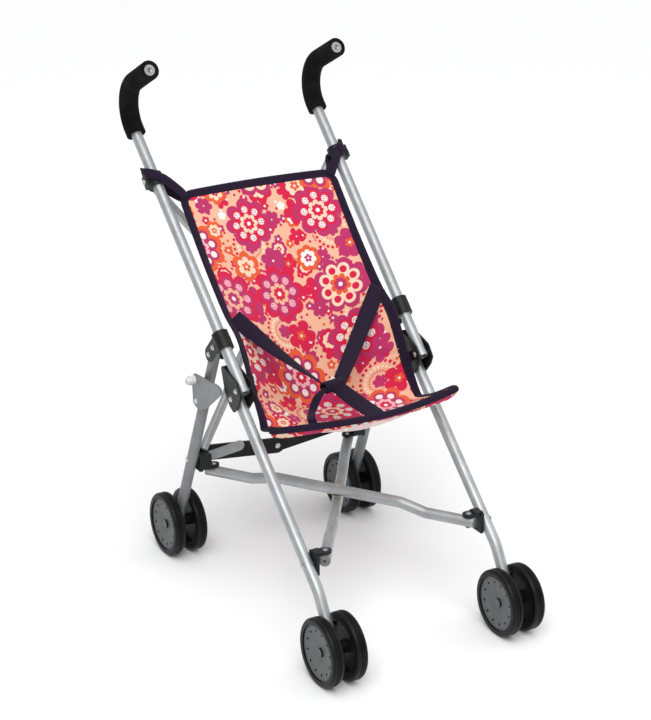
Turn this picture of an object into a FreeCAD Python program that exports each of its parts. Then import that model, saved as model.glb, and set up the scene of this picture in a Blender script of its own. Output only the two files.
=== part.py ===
# Umbrella-fold doll stroller, in millimetres.
# X is across, -Y is the front, +Z is up. The origin is on the ground, in the middle of the
# overall length and width. Side views below are written as (y, z), with y counted from the front axle.
import FreeCAD, Part
import math
import os

os.makedirs("parts", exist_ok=True)

V = FreeCAD.Vector
THROUGH = 30.0
doc = FreeCAD.newDocument("doll_stroller")

SIZES = {
    # overall stance
    "front_axle_y": -207.83,
    "wheelbase": 340.0,
    "frame_half": 109.0,
    "front_track_half": 107.0,
    "rear_track_half": 114.0,
    # wheels
    "wheel_radius": 36.0,
    "wheel_width": 13.0,
    "rim_radius": 29.2,
    "hub_width": 10.0,
    "dish_depth": 3.0,
    "hub_cap_radius": 6.0,
    "rim_hole_radius": 1.4,
    "rim_hole_circle": 23.0,
    "axle_radius": 2.5,
    "axle_fit": 0.06,
    "wheel_gap": 1.0,
    "tread_round": 3.2,
    "groove_depth": 0.9,
    "groove_width": 1.1,
    "rim_wall": 2.3,
    "hub_web": 2.2,
    "rim_holes": 12,
    "axle_short": 3.6,
    # tubes
    "tube_dia": 12.0,
    "tube_wall": 1.0,
    "brace_dia": 12.0,
    "back_brace_dia": 10.0,
    "tube_end": 7.0,
    "fit": 0.3,
    # handle tube, from its lower end
    "handle_foot_y": 184.0,
    "handle_foot_z": 246.5,
    "handle_angle": 42.5,
    "handle_splay": 0.8,
    "handle_straight": 334.0,
    "hook_radius": 33.0,
    "hook_turn": 110.0,
    "hook_straight": 43.0,
    "plug_depth": 8.0,
    "plug_head": 1.4,
    "plug_recess": 1.6,
    "grip_from": 326.0,
    "grip_dia": 21.5,
    # knee between handle tube and front leg
    "knee_up": 4.0,
    "knee_offset": 17.2,
    "plate_thick": 2.0,
    "knee_gap": 0.8,
    "knee_reach": 31.0,
    "knee_web_gap": 2.2,
    "knee_below": 13.0,
    "knee_slot_up": 10.0,
    "front_bend_up": 59.0,
    "front_bend_angle": 58.4,
    "front_bend_radius": 45.0,
    # rear leg pivot clamp
    "clamp_up": 63.0,
    "clamp_wall": 3.0,
    "clamp_length": 20.0,
    "cheek_start": 4.0,
    "cheek_radius": 8.0,
    "clamp_rivet_behind": 11.0,
    "rear_pivot_offset": 26.0,
    # upper clamp
    "upper_clamp_up": 265.0,
    "upper_clamp_length": 15.0,
    "upper_clamp_width": 9.0,
    "upper_clamp_lug": 7.0,
    "upper_ear_radius": 6.0,
    "upper_ear_clear": 3.7,
    "screw_head": 1.2,
    "screw_slot": 0.8,
    "back_brace_offset": 15.5,
    "back_brace_top_in": 4.0,
    # braces, as distances down the legs
    "brace_front_down": 195.0,
    "front_ear_reach": 21.0,
    "front_ear_rise": 2.8,
    "rear_bracket_down": 154.0,
    "rear_ear_reach": 26.2,
    "rear_ear_drop": 20.4,
    "ear_radius": 6.5,
    "ear_thick": 2.6,
    "rear_plate": 4.0,
    "rear_plate_below": 15.5,
    "front_plate": 3.5,
    "front_plate_half": 8.0,
    "front_plate_below": 11.0,
    "front_arm_reach": 9.0,
    "bracket_half": 6.0,
    "bracket_above": 3.0,
    "ear_shank": 7.0,
    "pin_depth": 3.4,
    "bracket_gap": 0.5,
    "brace_jog": 6.5,
    "jog_share": 0.16,
    "jog_slope": 4.5,
    "brace_plug": 3.5,
    "brace_plug_rim": 1.0,
    "brace_plug_hole": 1.7,
    "bush_radius": 6.0,
    "bush_play": 0.1,
    "crossing_head": 1.6,
    "back_brace_down": 142.0,
    "back_brace_behind": 4.0,
    "back_brace_in": 15.0,
    "back_brace_end": 4.0,
    "foot_pin": 5.4,
    "back_brace_jog": 5.5,
    # lock bar between the rear legs
    "lock_reach": 15.0,
    "lock_behind": 9.3,
    "lock_sag": 11.0,
    "lock_height": 18.0,
    "lock_thick": 3.0,
    "lock_link_length": 60.0,
    "lock_link_width": 12.0,
    "lock_link_thick": 1.5,
    "lock_link_drop": 5.5,
    # safety catch on the left rear leg
    "catch_down": 66.0,
    "catch_thick": 2.0,
    "catch_stand_off": 3.1,
    "catch_spacer": 5.0,
    "knob_behind": 3.0,
    "knob_up": 24.0,
    "knob_radius": 5.2,
    "knob_length": 7.0,
    # rivets
    "rivet_radius": 1.6,
    "rivet_head": 3.2,
    "rivet_head_height": 1.4,
    # seat sling and harness
    "seat_half": 96.0,
    "seat_thick": 3.0,
    "seat_top_y": 359.0,
    "seat_top_z": 418.0,
    "seat_fold_y": 208.0,
    "seat_fold_z": 200.0,
    "seat_front_y": 104.0,
    "seat_front_z": 230.0,
    "seat_edge_top": 234.0,
    "seat_edge_low": 54.0,
    "seat_tab_y": 170.0,
    "seat_tab_z": 212.0,
    "seat_corner_y": 105.0,
    "seat_corner_z": 243.0,
    "strap_width": 20.0,
    "strap_thick": 1.6,
    "buckle_y": 166.0,
    "buckle_z": 250.0,
    "buckle_width": 24.0,
    "buckle_length": 18.0,
    "buckle_thick": 5.0,
    "harness_up": 100.0,
    "harness_in": 9.5,
    "tie_width": 10.0,
}

sheet = doc.addObject("Spreadsheet::Sheet", "Dims")
for row, (name, value) in enumerate(SIZES.items(), start=1):
    sheet.set(f"A{row}", name)
    sheet.set(f"B{row}", str(value))
    sheet.setAlias(f"B{row}", name)
doc.recompute()


def size(name):
    return float(sheet.get(name))


NODES = []


def node(label, shape_object):
    """Names a finished sub-part, which is also its file's name."""
    shape_object.Label = label
    NODES.append(shape_object)
    return shape_object


# ---------------------------------------------------------------- shapes


def bind(obj, **values):
    """Sets properties, as expressions on the sheet where the value is text."""
    for name, value in values.items():
        if isinstance(value, str):
            obj.setExpression(name, value)
        else:
            setattr(obj, name, value)


def aimed(base, direction):
    return FreeCAD.Placement(base, FreeCAD.Rotation(V(0, 0, 1), direction))


def cylinder(radius, length, base, direction):
    obj = doc.addObject("Part::Cylinder", "cylinder")
    bind(obj, Radius=radius, Height=length)
    obj.Placement = aimed(base, direction)
    return obj


def cone(radius_1, radius_2, length, base, direction):
    obj = doc.addObject("Part::Cone", "cone")
    bind(obj, Radius1=radius_1, Radius2=radius_2, Height=length)
    obj.Placement = aimed(base, direction)
    return obj


def box(length, width, height, corner, rotation=None):
    obj = doc.addObject("Part::Box", "box")
    bind(obj, Length=length, Width=width, Height=height)
    obj.Placement = FreeCAD.Placement(corner, rotation or FreeCAD.Rotation())
    return obj


def fuse(*parts):
    obj = doc.addObject("Part::MultiFuse", "fuse")
    obj.Shapes = list(parts)
    return obj


def cut(base, *tools):
    obj = doc.addObject("Part::Cut", "cut")
    obj.Base = base
    obj.Tool = tools[0] if len(tools) == 1 else fuse(*tools)
    return obj


def group(*parts):
    """Separate solids that share one node."""
    obj = doc.addObject("Part::Compound", "group")
    obj.Links = list(parts)
    return obj


def ring(outer, inner, length, base, direction):
    return cut(cylinder(outer, length, base, direction), cylinder(inner, length, base, direction))


def outline_prism(points, thickness, along, fillet=0.0):
    """A flat plate: the outline's points, extruded along a vector of the given thickness."""
    face = doc.addObject("Part::Feature", "outline")
    face.Shape = Part.Face(Part.makePolygon(points + [points[0]]))
    plate = doc.addObject("Part::Extrusion", "plate")
    plate.Base = face
    plate.DirMode = "Custom"
    plate.Dir = along
    bind(plate, LengthFwd=thickness)
    plate.Solid = True
    if not fillet:
        return plate
    doc.recompute()
    axis = V(along).normalize()
    edges = []
    for number, edge in enumerate(plate.Shape.Edges, start=1):
        if abs(edge.tangentAt(edge.FirstParameter).dot(axis)) > 0.999:
            edges.append((number, fillet, fillet))
    rounded = doc.addObject("Part::Fillet", "rounded")
    rounded.Base = plate
    rounded.Edges = edges
    return rounded


def bent_path(points, radius):
    """A wire of straight runs joined by tangent arcs."""
    edges = []
    start = points[0]
    for before, corner, after in zip(points, points[1:], points[2:]):
        way_in = (corner - before).normalize()
        way_out = (after - corner).normalize()
        turn = way_in.getAngle(way_out)
        tangent = radius * math.tan(turn / 2)
        first = corner - way_in * tangent
        last = corner + way_out * tangent
        inward = (way_out - way_in).normalize()
        centre = corner + inward * (radius / math.cos(turn / 2))
        middle = centre - inward * radius
        edges.append(Part.LineSegment(start, first).toShape())
        edges.append(Part.Arc(first, middle, last).toShape())
        start = last
    edges.append(Part.LineSegment(start, points[-1]).toShape())
    wire = doc.addObject("Part::Feature", "path")
    wire.Shape = Part.Wire(edges)
    return wire


def rod_along(path, radius):
    first = path.Shape.Edges[0]
    section = doc.addObject("Part::Circle", "section")
    bind(section, Radius=radius)
    section.Placement = aimed(first.Vertexes[0].Point, first.tangentAt(first.FirstParameter))
    rod = doc.addObject("Part::Sweep", "rod")
    rod.Sections = [section]
    rod.Spine = (path, [f"Edge{n + 1}" for n in range(len(path.Shape.Edges))])
    rod.Solid = True
    rod.Frenet = False
    return rod


def bent_tube(points, bend_radius, outer, inner):
    path = bent_path(points, bend_radius)
    return cut(rod_along(path, outer), rod_along(path, inner))


def straight_tube(start, end, outer, inner):
    length = (end - start).Length
    return ring(outer, inner, length, start, end - start)


def hole(radius, point, way=V(1, 0, 0)):
    """A tool for a hole right through a part, centred on a point."""
    return cylinder(radius, THROUGH, point - V(way).normalize() * (THROUGH / 2), way)


def stadium(centre_1, centre_2, radius, thickness, normal):
    """A flat link with round ends. Both centres lie on its back face."""
    link = centre_2 - centre_1
    rotation = FreeCAD.Rotation(link, normal.cross(link), normal, "XYZ")
    middle = doc.addObject("Part::Box", "middle")
    bind(middle, Length=link.Length, Width=f"2 * ({radius})" if isinstance(radius, str) else 2 * radius,
         Height=thickness)
    half = V(normal.cross(link)).normalize()
    doc.recompute()
    middle.Placement = FreeCAD.Placement(centre_1 - half * (middle.Width.Value / 2), rotation)
    ends = [cylinder(radius, thickness, centre, normal) for centre in (centre_1, centre_2)]
    return fuse(middle, *ends)


def rivet_dome(base, direction):
    return cone("Dims.rivet_head", "Dims.rivet_head * 0.6", "Dims.rivet_head_height", base, direction)


def rivet(start, direction, grip, ends=2):
    """A rivet with a round head at the start of its grip length, and at the end of it too if it has two."""
    direction = V(direction).normalize()
    shank = cylinder("Dims.rivet_radius", grip, start, direction)
    near = cone("Dims.rivet_head * 0.6", "Dims.rivet_head", "Dims.rivet_head_height",
                start - direction * size("rivet_head_height"), direction)
    if ends == 1:
        return fuse(shank, near)
    return fuse(shank, near, rivet_dome(start + direction * grip, direction))


def leg_rivet(side, leg):
    """Rivet through a leg, from its outer face into the boss of the brace bracket inside it."""
    grip = size("tube_dia") + size("bracket_gap") + size("pin_depth") - FIT
    return rivet(leg + V(side * size("tube_dia") / 2, 0, 0), V(-side, 0, 0), grip, ends=1)


# ---------------------------------------------------------------- frame geometry

TUBE_R = size("tube_dia") / 2
FIT = size("fit")
CHEEK_IN = TUBE_R + FIT
CHEEK_OUT = CHEEK_IN + size("plate_thick")
EAR_THICK = size("ear_thick")
LINK_THICK = size("lock_link_thick")
PIN = "Dims.rivet_radius"
PIN_ROOM = "Dims.rivet_radius + Dims.axle_fit"


def station(x, y, z):
    """A point given by its distance across, its distance behind the front axle and its height."""
    return V(x, size("front_axle_y") + y, z)


def heading(degrees):
    """A direction in the side view, counted from the rear horizontal towards up."""
    return V(0, math.cos(math.radians(degrees)), math.sin(math.radians(degrees)))


BEHIND = heading(size("handle_angle") - 90)


def up_handle(side):
    """The way up the handle tube, which leans a little outwards."""
    splay = math.tan(math.radians(size("handle_splay")))
    return (heading(size("handle_angle")) + V(side * splay, 0, 0)).normalize()


def on_handle(side, up, behind=0.0, outward=0.0):
    """A point beside the handle tube, from its lower end."""
    foot = station(side * size("frame_half"), size("handle_foot_y"), size("handle_foot_z"))
    return foot + up_handle(side) * up + BEHIND * behind + V(side * outward, 0, 0)


def knee(side):
    return on_handle(side, size("knee_up"))


def leg_top(side):
    return on_handle(side, size("knee_up"), size("knee_offset"))


def front_axle(side):
    return station(side * size("front_track_half"), 0, size("wheel_radius"))


def front_bend(side):
    lean = (leg_top(side).x - front_axle(side).x) * 0.2
    return front_axle(side) + heading(size("front_bend_angle")) * size("front_bend_up") + V(lean, 0, 0)


def on_front_leg(side, down):
    return leg_top(side) + (front_bend(side) - leg_top(side)).normalize() * down


def rear_pivot(side):
    return on_handle(side, size("clamp_up"), size("rear_pivot_offset"))


def rear_axle(side):
    return station(side * size("rear_track_half"), size("wheelbase"), size("wheel_radius"))


def on_rear_leg(side, down, behind=0.0, inward=0.0):
    way = (rear_axle(side) - rear_pivot(side)).normalize()
    rear = V(0, -way.z, way.y).normalize()
    return rear_pivot(side) + way * down + rear * behind - V(side * inward, 0, 0)


def rear_bracket(side):
    """Where the rear bracket turns on its rivet through the leg."""
    return on_rear_leg(side, size("rear_bracket_down"))


def front_bracket(side):
    return on_front_leg(side, size("brace_front_down"))


def brace_rear(side):
    return rear_bracket(side) + V(-side * size("rear_ear_reach"), 0, -size("rear_ear_drop"))


def brace_front(side):
    return front_bracket(side) + V(-side * size("front_ear_reach"), 0, size("front_ear_rise"))


def back_brace_top(side):
    return on_handle(side, size("upper_clamp_up"), size("back_brace_offset"), -size("back_brace_top_in"))


def lock_pivot(side):
    return rear_bracket(side) + V(-side * size("lock_reach"), size("lock_behind"), -1.0)


def back_brace_foot(side):
    return on_rear_leg(side, size("back_brace_down"), size("back_brace_behind"), size("back_brace_in"))


# ---------------------------------------------------------------- handle side


def handle_tube(side):
    tangent = size("hook_radius") * math.tan(math.radians(size("hook_turn") / 2))
    corner = on_handle(side, size("handle_straight") + tangent)
    hook = heading(size("handle_angle") + size("hook_turn"))
    tip = corner + hook * (tangent + size("hook_straight"))
    return [on_handle(side, 0), corner, tip], hook


def build_handle(side, name):
    points, hook = handle_tube(side)
    tube = bent_tube(points, size("hook_radius"), "Dims.tube_dia / 2", "Dims.tube_dia / 2 - Dims.tube_wall")
    sleeve = [on_handle(side, size("grip_from")), points[1], points[2] + hook]
    grip = bent_tube(sleeve, size("hook_radius"), "Dims.grip_dia / 2", "Dims.tube_dia / 2 + Dims.axle_fit")
    node(f"{name}_grip", grip)
    bore = "Dims.tube_dia / 2 - Dims.tube_wall - Dims.axle_fit"
    stem = cylinder(bore, "Dims.plug_depth", points[2] - hook * size("plug_depth"), hook)
    head = cylinder("Dims.tube_dia / 2", "Dims.plug_head", points[2], hook)
    recess = cylinder("Dims.tube_dia / 4", "Dims.plug_recess + Dims.plug_head",
                      points[2] - hook * size("plug_recess"), hook)
    pin_room = hole(PIN_ROOM, knee(side))
    node(f"{name}_handle_tube", group(cut(tube, pin_room), cut(fuse(stem, head), recess)))


def build_upper_clamp(side, name):
    """Clamp near the top of the handle tube that carries the back brace and the tie strap."""
    length = size("upper_clamp_length")
    up = up_handle(side)
    low = on_handle(side, size("upper_clamp_up") - length / 2)
    collar = cylinder("Dims.tube_dia / 2 + Dims.clamp_wall", "Dims.upper_clamp_length", low, up)
    width = size("upper_clamp_width")
    thick = V(1, 0, 0).cross(up)
    turn = FreeCAD.Rotation(V(1, 0, 0), up, thick, "XZY")
    outer = TUBE_R + size("upper_clamp_lug")
    lug_corner = low - thick * (width / 2) + V(0 if side > 0 else -outer, 0, 0)
    lug = box(outer, "Dims.upper_clamp_length", width, lug_corner, turn)
    ear_reach = size("back_brace_offset") - size("back_brace_dia") / 2 - size("upper_ear_clear")
    ear_foot = on_handle(side, size("upper_clamp_up"), 0, -size("back_brace_top_in"))
    ear = cylinder("Dims.upper_ear_radius", ear_reach, ear_foot, BEHIND)
    bore = hole("Dims.tube_dia / 2 + Dims.axle_fit", low + up * (length / 2), up)
    node(f"{name}_upper_clamp", cut(fuse(collar, lug, ear), bore))
    face = on_handle(side, size("upper_clamp_up"), 0, outer)
    screw = cylinder("Dims.rivet_head", "Dims.screw_head", face, V(side, 0, 0))
    wide = size("screw_slot")
    long = 2 * size("rivet_head")
    slot_x = size("screw_head") / 2 if side > 0 else -size("screw_head") * 1.5
    slot = box("Dims.screw_head", wide, long, face + V(slot_x, -wide / 2, -long / 2))
    return cut(screw, slot)


def build_pivot_clamp(side, name):
    """Clamp round the handle tube with two cheeks that hold the top of the rear leg."""
    length = size("clamp_length")
    up = up_handle(side)
    low = on_handle(side, size("clamp_up") - length / 2)
    collar = cylinder("Dims.tube_dia / 2 + Dims.clamp_wall", "Dims.clamp_length", low, up)
    bore = hole("Dims.tube_dia / 2 + Dims.axle_fit", on_handle(side, size("clamp_up")), up)
    near = on_handle(side, size("clamp_up"), size("cheek_start"))
    cheeks = []
    for face in (CHEEK_IN, -CHEEK_OUT):
        shift = V(face, 0, 0)
        cheeks.append(stadium(near + shift, rear_pivot(side) + shift, "Dims.cheek_radius",
                              "Dims.plate_thick", V(1, 0, 0)))
    body = cut(fuse(collar, *cheeks), bore)
    centres = (rear_pivot(side), on_handle(side, size("clamp_up"), size("clamp_rivet_behind")))
    node(f"{name}_pivot_clamp", cut(body, *[hole("Dims.rivet_radius", centre) for centre in centres]))
    return [rivet(centre - V(CHEEK_OUT, 0, 0), V(1, 0, 0), 2 * CHEEK_OUT) for centre in centres]


def build_tie_strap(side, name):
    """Fabric loop that ties the seat's top corner to the handle tube, below the upper clamp."""
    width = size("tie_width")
    low = size("upper_clamp_up") - size("upper_clamp_length") / 2 - FIT - width
    loop = ring("Dims.tube_dia / 2 + Dims.fit + Dims.strap_thick", "Dims.tube_dia / 2 + Dims.fit",
                "Dims.tie_width", on_handle(side, low), up_handle(side))
    sewn = on_handle(side, size("seat_edge_top") + 1)
    sewn.x = side * (size("seat_half") + FIT)
    tail = strap(on_handle(side, low + width / 2, 0, -TUBE_R - FIT - size("strap_thick") / 2), sewn,
                 V(side, 0, 0), "tie_width")
    node(f"{name}_tie_strap", fuse(loop, tail))


# ---------------------------------------------------------------- front leg


def build_front_leg(side, name):
    top = leg_top(side)
    bend = front_bend(side)
    axle = front_axle(side)
    up = (top - bend).normalize()
    down = (axle - bend).normalize()
    end = size("tube_end")
    tube = bent_tube([top + up * end, bend, axle + down * end], size("front_bend_radius"),
                     "Dims.tube_dia / 2", "Dims.tube_dia / 2 - Dims.tube_wall")
    holes = [hole("Dims.axle_radius", axle), hole("Dims.rivet_radius", top),
             hole("Dims.rivet_radius", front_bracket(side))]
    node(f"{name}_front_leg", cut(tube, *holes))


def build_knee_bracket(side, name):
    """Channel riveted to the front leg that turns on the lower end of the handle tube."""
    pivot = knee(side)
    web_in = TUBE_R + size("knee_web_gap")
    web_out = web_in + size("plate_thick")
    reach = size("knee_reach")
    outline = [(-9, -6), (6, -8), (reach + 3, web_in - 2), (reach + 5, web_out), (12, size("knee_offset") + 6),
               (-4, size("knee_offset") + 8), (-14, size("knee_offset") + 5), (-13, 4)]
    cheek_in = TUBE_R + size("knee_gap")
    cheek_out = cheek_in + size("plate_thick")
    along = heading(size("handle_angle"))
    centre = pivot - V(cheek_out, 0, 0)
    points = [centre + along * up + BEHIND * behind for up, behind in outline]
    plate = outline_prism(points, 2 * cheek_out, V(1, 0, 0), 3.0)
    slot_depth = size("knee_offset") + TUBE_R + FIT
    thick = V(1, 0, 0).cross(along)
    turn = FreeCAD.Rotation(V(1, 0, 0), along, thick, "XZY")
    slots = []
    for up_from, depth in ((size("knee_below") - THROUGH, slot_depth), (size("knee_slot_up"), web_in)):
        corner = pivot + along * up_from + BEHIND * depth - V(cheek_in, 0, 0)
        slots.append(box(2 * cheek_in, THROUGH, depth + THROUGH, corner, turn))
    holes = [hole("Dims.rivet_radius", point) for point in (pivot, leg_top(side))]
    node(f"{name}_knee_bracket", cut(plate, *slots, *holes))
    pins = [rivet(point - V(cheek_out, 0, 0), V(1, 0, 0), 2 * cheek_out) for point in (pivot, leg_top(side))]
    pins.append(leg_rivet(side, front_bracket(side)))
    node(f"{name}_front_leg_rivets", group(*pins))


# ---------------------------------------------------------------- rear leg


def build_rear_leg(side, name):
    top = on_rear_leg(side, -size("tube_end"))
    way = (rear_axle(side) - rear_pivot(side)).normalize()
    tube = straight_tube(top, rear_axle(side) + way * size("tube_end"), "Dims.tube_dia / 2",
                         "Dims.tube_dia / 2 - Dims.tube_wall")
    foot = back_brace_foot(side) + V(side * size("back_brace_in"), 0, 0)
    holes = [hole("Dims.axle_radius", rear_axle(side)),
             hole(PIN_ROOM, rear_pivot(side)),
             hole("Dims.rivet_radius", rear_bracket(side)),
             cylinder("Dims.rivet_head", THROUGH, foot, V(-side, 0, 0))]
    if side < 0:
        holes.append(hole("Dims.rivet_radius", on_rear_leg(side, size("catch_down"))))
    node(f"{name}_rear_leg", cut(tube, *holes))


# ---------------------------------------------------------------- braces


def crossing_share(side):
    """How far along a lower brace, from its rear end, the two braces cross."""
    rear = abs(brace_rear(side).x)
    front = abs(brace_front(-side).x)
    return rear / (rear + front)


def brace_normal(side):
    """Upward normal of the plane of the lower braces, square to the axis across the stroller."""
    way = brace_front(-side) - brace_rear(side)
    return V(0, -way.z, way.y).normalize() * (-1 if way.y < 0 else 1)


def jogged_tube(start, end, normal, jog, outer, over):
    """A straight tube whose middle is set off to one side, to pass the tube that it crosses."""
    way = (end - start).normalize()
    length = (end - start).Length
    near = size("jog_share") * length
    far = near + size("jog_slope") * abs(jog)
    points = [start - way * over, start + way * near, start + way * far + normal * jog,
              end - way * far + normal * jog, end - way * near, end + way * over]
    return bent_tube(points, 3 * size(outer) / 2, f"Dims.{outer} / 2", f"Dims.{outer} / 2 - Dims.tube_wall")


def build_lower_brace(side, name):
    """Tube from a rear leg to the front leg of the other side, riveted there. The left one passes above."""
    normal = brace_normal(side)
    jog = -side * size("brace_jog")
    start = brace_rear(side)
    end = brace_front(-side)
    way = (end - start).normalize()
    half = size("brace_dia") / 2
    tube = jogged_tube(start, end, normal, jog, "brace_dia", size("tube_end"))
    inner = "Dims.brace_dia / 2 - Dims.tube_wall - Dims.axle_fit"
    fittings = []
    for point, out in ((start, way * -1), (end, way)):
        face = point + out * size("tube_end")
        plug = fuse(cylinder(inner, "Dims.brace_plug", face - out * size("brace_plug"), out),
                    cylinder("Dims.brace_dia / 2", "Dims.brace_plug_rim", face, out))
        fittings.append(cut(plug, cylinder("Dims.brace_plug_hole", "Dims.brace_plug",
                                           face - out * (size("brace_plug") / 2), out)))
    play = size("bush_play")
    ear_top = half + FIT + EAR_THICK + play
    ear_rivet = rivet(end + normal * ear_top, normal * -1, ear_top + half + play)
    fittings.append(ear_rivet)
    crossing = (start + way * ((end - start).Length * crossing_share(side))) + normal * jog
    gap = 2 * abs(jog) - 2 * half
    if side < 0:
        sunk = 6 * play
        bush = cylinder("Dims.bush_radius", gap - 2 * play, crossing - normal * (half - sunk), normal * -1)
        fittings.append(cut(bush, hole(half, crossing, way)))
    head = 1 if side < 0 else -1
    out = normal * head
    seat = cone("Dims.rivet_head * 1.25", "Dims.rivet_head * 0.7", "Dims.crossing_head",
                crossing + out * (half - size("crossing_head") / 3), out)
    fittings.append(cut(seat, hole(half, crossing, way)))
    node(f"{name}_lower_brace", cut(tube, hole(PIN, end, normal)))
    node(f"{name}_brace_fittings", group(*fittings))


def bracket_block(point, side, reach_from, reach_to, ahead, behind, below, above):
    """A block beside a leg, given by how far it reaches from the bracket's rivet in each direction."""
    low_x = point.x - side * (reach_to if side > 0 else reach_from)
    return box(reach_to - reach_from, ahead + behind, below + above, V(low_x, point.y - ahead, point.z - below))


def ear_over(pivot, normal, outward):
    """Rounded ear above the end of a brace, reaching back to its bracket."""
    base = pivot + normal * (size("brace_dia") / 2 + FIT)
    return stadium(base, base + outward, "Dims.ear_radius", "Dims.ear_thick", normal)


def build_rear_bracket(side, name):
    """Black bracket that turns on the rear leg, and carries the lock bar and the end of the lower brace."""
    point = rear_bracket(side)
    inner = TUBE_R + size("bracket_gap")
    lift = size("rear_ear_drop") - size("brace_dia") / 2 - FIT
    rear_face = size("lock_behind") - FIT - LINK_THICK - FIT
    ahead = size("bracket_half")
    above = size("bracket_above")
    plate = bracket_block(point, side, inner, inner + size("rear_plate"), ahead, rear_face,
                          size("rear_plate_below"), above)
    block = bracket_block(point, side, inner, size("lock_reach") + ahead, ahead, rear_face, lift, above)
    ear = ear_over(brace_rear(side), brace_normal(side), V(side * size("ear_shank"), 0, 0))
    leg_pin = cylinder(PIN_ROOM, "Dims.pin_depth", point - V(side * inner, 0, 0), V(-side, 0, 0))
    bar_pin = cylinder(PIN, "Dims.lock_behind", lock_pivot(side) - V(0, size("lock_behind"), 0), V(0, 1, 0))
    bracket = cut(fuse(plate, block, ear), leg_pin, hole(PIN, brace_rear(side), brace_normal(side)), bar_pin)
    node(f"{name}_rear_brace_bracket", bracket)


def build_front_bracket(side, name):
    """Black bracket that turns on the front leg, with an ear over the end of the other brace."""
    point = front_bracket(side)
    inner = TUBE_R + size("bracket_gap")
    base = size("front_ear_rise") + size("brace_dia") / 2 + FIT
    half = size("front_plate_half")
    arm_half = size("bracket_half")
    plate = bracket_block(point, side, inner, inner + size("front_plate"), half, half, size("front_plate_below"),
                          base + EAR_THICK)
    arm = bracket_block(point, side, inner, inner + size("front_arm_reach"), arm_half, arm_half,
                        -base - size("bush_play"), base + EAR_THICK * 1.5)
    ear = ear_over(brace_front(side), brace_normal(-side), V(side * size("front_plate_half"), 0, 0))
    leg_pin = cylinder(PIN_ROOM, "Dims.pin_depth", point - V(side * inner, 0, 0), V(-side, 0, 0))
    ear_pin = hole(PIN_ROOM, brace_front(side), brace_normal(-side))
    node(f"{name}_front_brace_bracket", cut(fuse(plate, arm, ear), leg_pin, ear_pin))


def build_rear_pins(side, name):
    """The rear axle, the rivet that the rear bracket turns on and the pin beside the back brace's foot."""
    foot = back_brace_foot(side)
    wall = size("tube_wall")
    stud = cylinder("Dims.rivet_head", "Dims.foot_pin", foot + V(side * (size("back_brace_in") - wall), 0, 0),
                    V(-side, 0, 0))
    way = rear_axle(side) - rear_pivot(side)
    pin = cut(stud, hole(TUBE_R - wall + size("axle_fit"), on_rear_leg(side, size("back_brace_down")), way))
    bracket_rivet = leg_rivet(side, rear_bracket(side))
    node(f"{name}_rear_axle_and_rivets", group(axle_rod(rear_axle(side)), bracket_rivet, pin))


def build_back_brace(side, name):
    """Tube from the upper clamp down to the rear leg of the other side, crossing behind the seat."""
    start = back_brace_top(side)
    end = back_brace_foot(-side)
    normal = (end - start).cross(V(side, 0, 0)).normalize()
    if normal.y < 0:
        normal = normal * -1
    jog = side * size("back_brace_jog")
    tube = jogged_tube(start, end, normal, jog, "back_brace_dia", size("back_brace_end"))
    node(f"{name}_back_brace", tube)


def build_lock_bar(side, name):
    """Half of the folding lock bar, which hangs a little below straight, with the left half in front.

    A steel link is riveted to its front face, and the pin it turns on is fixed in the rear bracket.
    """
    thick = size("lock_thick")
    back = V(0, 1, 0)
    pivot = lock_pivot(side) + back * (0 if side < 0 else thick + FIT)
    centre = V(0, pivot.y, pivot.z - size("lock_sag"))
    bar = stadium(pivot, centre, "Dims.lock_height / 2", "Dims.lock_thick", back)
    holes = [cylinder(PIN_ROOM, 3 * thick, point - back * thick, back) for point in (pivot, centre)]
    node(f"{name}_lock_bar", cut(bar, *holes))
    front = pivot - back * LINK_THICK
    width = size("lock_link_width")
    near = front + V(-side * LINK_THICK, 0, -size("lock_link_drop"))
    far = front + V(-side * (size("lock_link_length") - width), 0, 0)
    link = stadium(near, far, "Dims.lock_link_width / 2", "Dims.lock_link_thick", back)
    room = cylinder(PIN_ROOM, 3 * thick, pivot - back * thick, back)
    fixing = rivet(far, back, LINK_THICK / 2, ends=1)
    node(f"{name}_lock_link", fuse(cut(link, room), fixing))
    start = lock_pivot(side) - back * (LINK_THICK + FIT)
    reach = LINK_THICK + FIT + (pivot.y - lock_pivot(side).y) + thick + FIT
    sunk = size("pin_depth") * 1.5
    pin = cylinder(PIN, reach + sunk, start - back * sunk, back)
    head = rivet_dome(start + back * reach, back)
    normal = brace_normal(side)
    ear = brace_rear(side) + normal * (size("brace_dia") / 2 + FIT)
    stud = cylinder("Dims.rivet_radius", "Dims.ear_thick", ear, normal)
    dome = rivet_dome(ear + normal * EAR_THICK, normal)
    node(f"{name}_rear_bracket_rivets", group(fuse(pin, head), fuse(stud, dome)))


# ---------------------------------------------------------------- wheels


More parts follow.
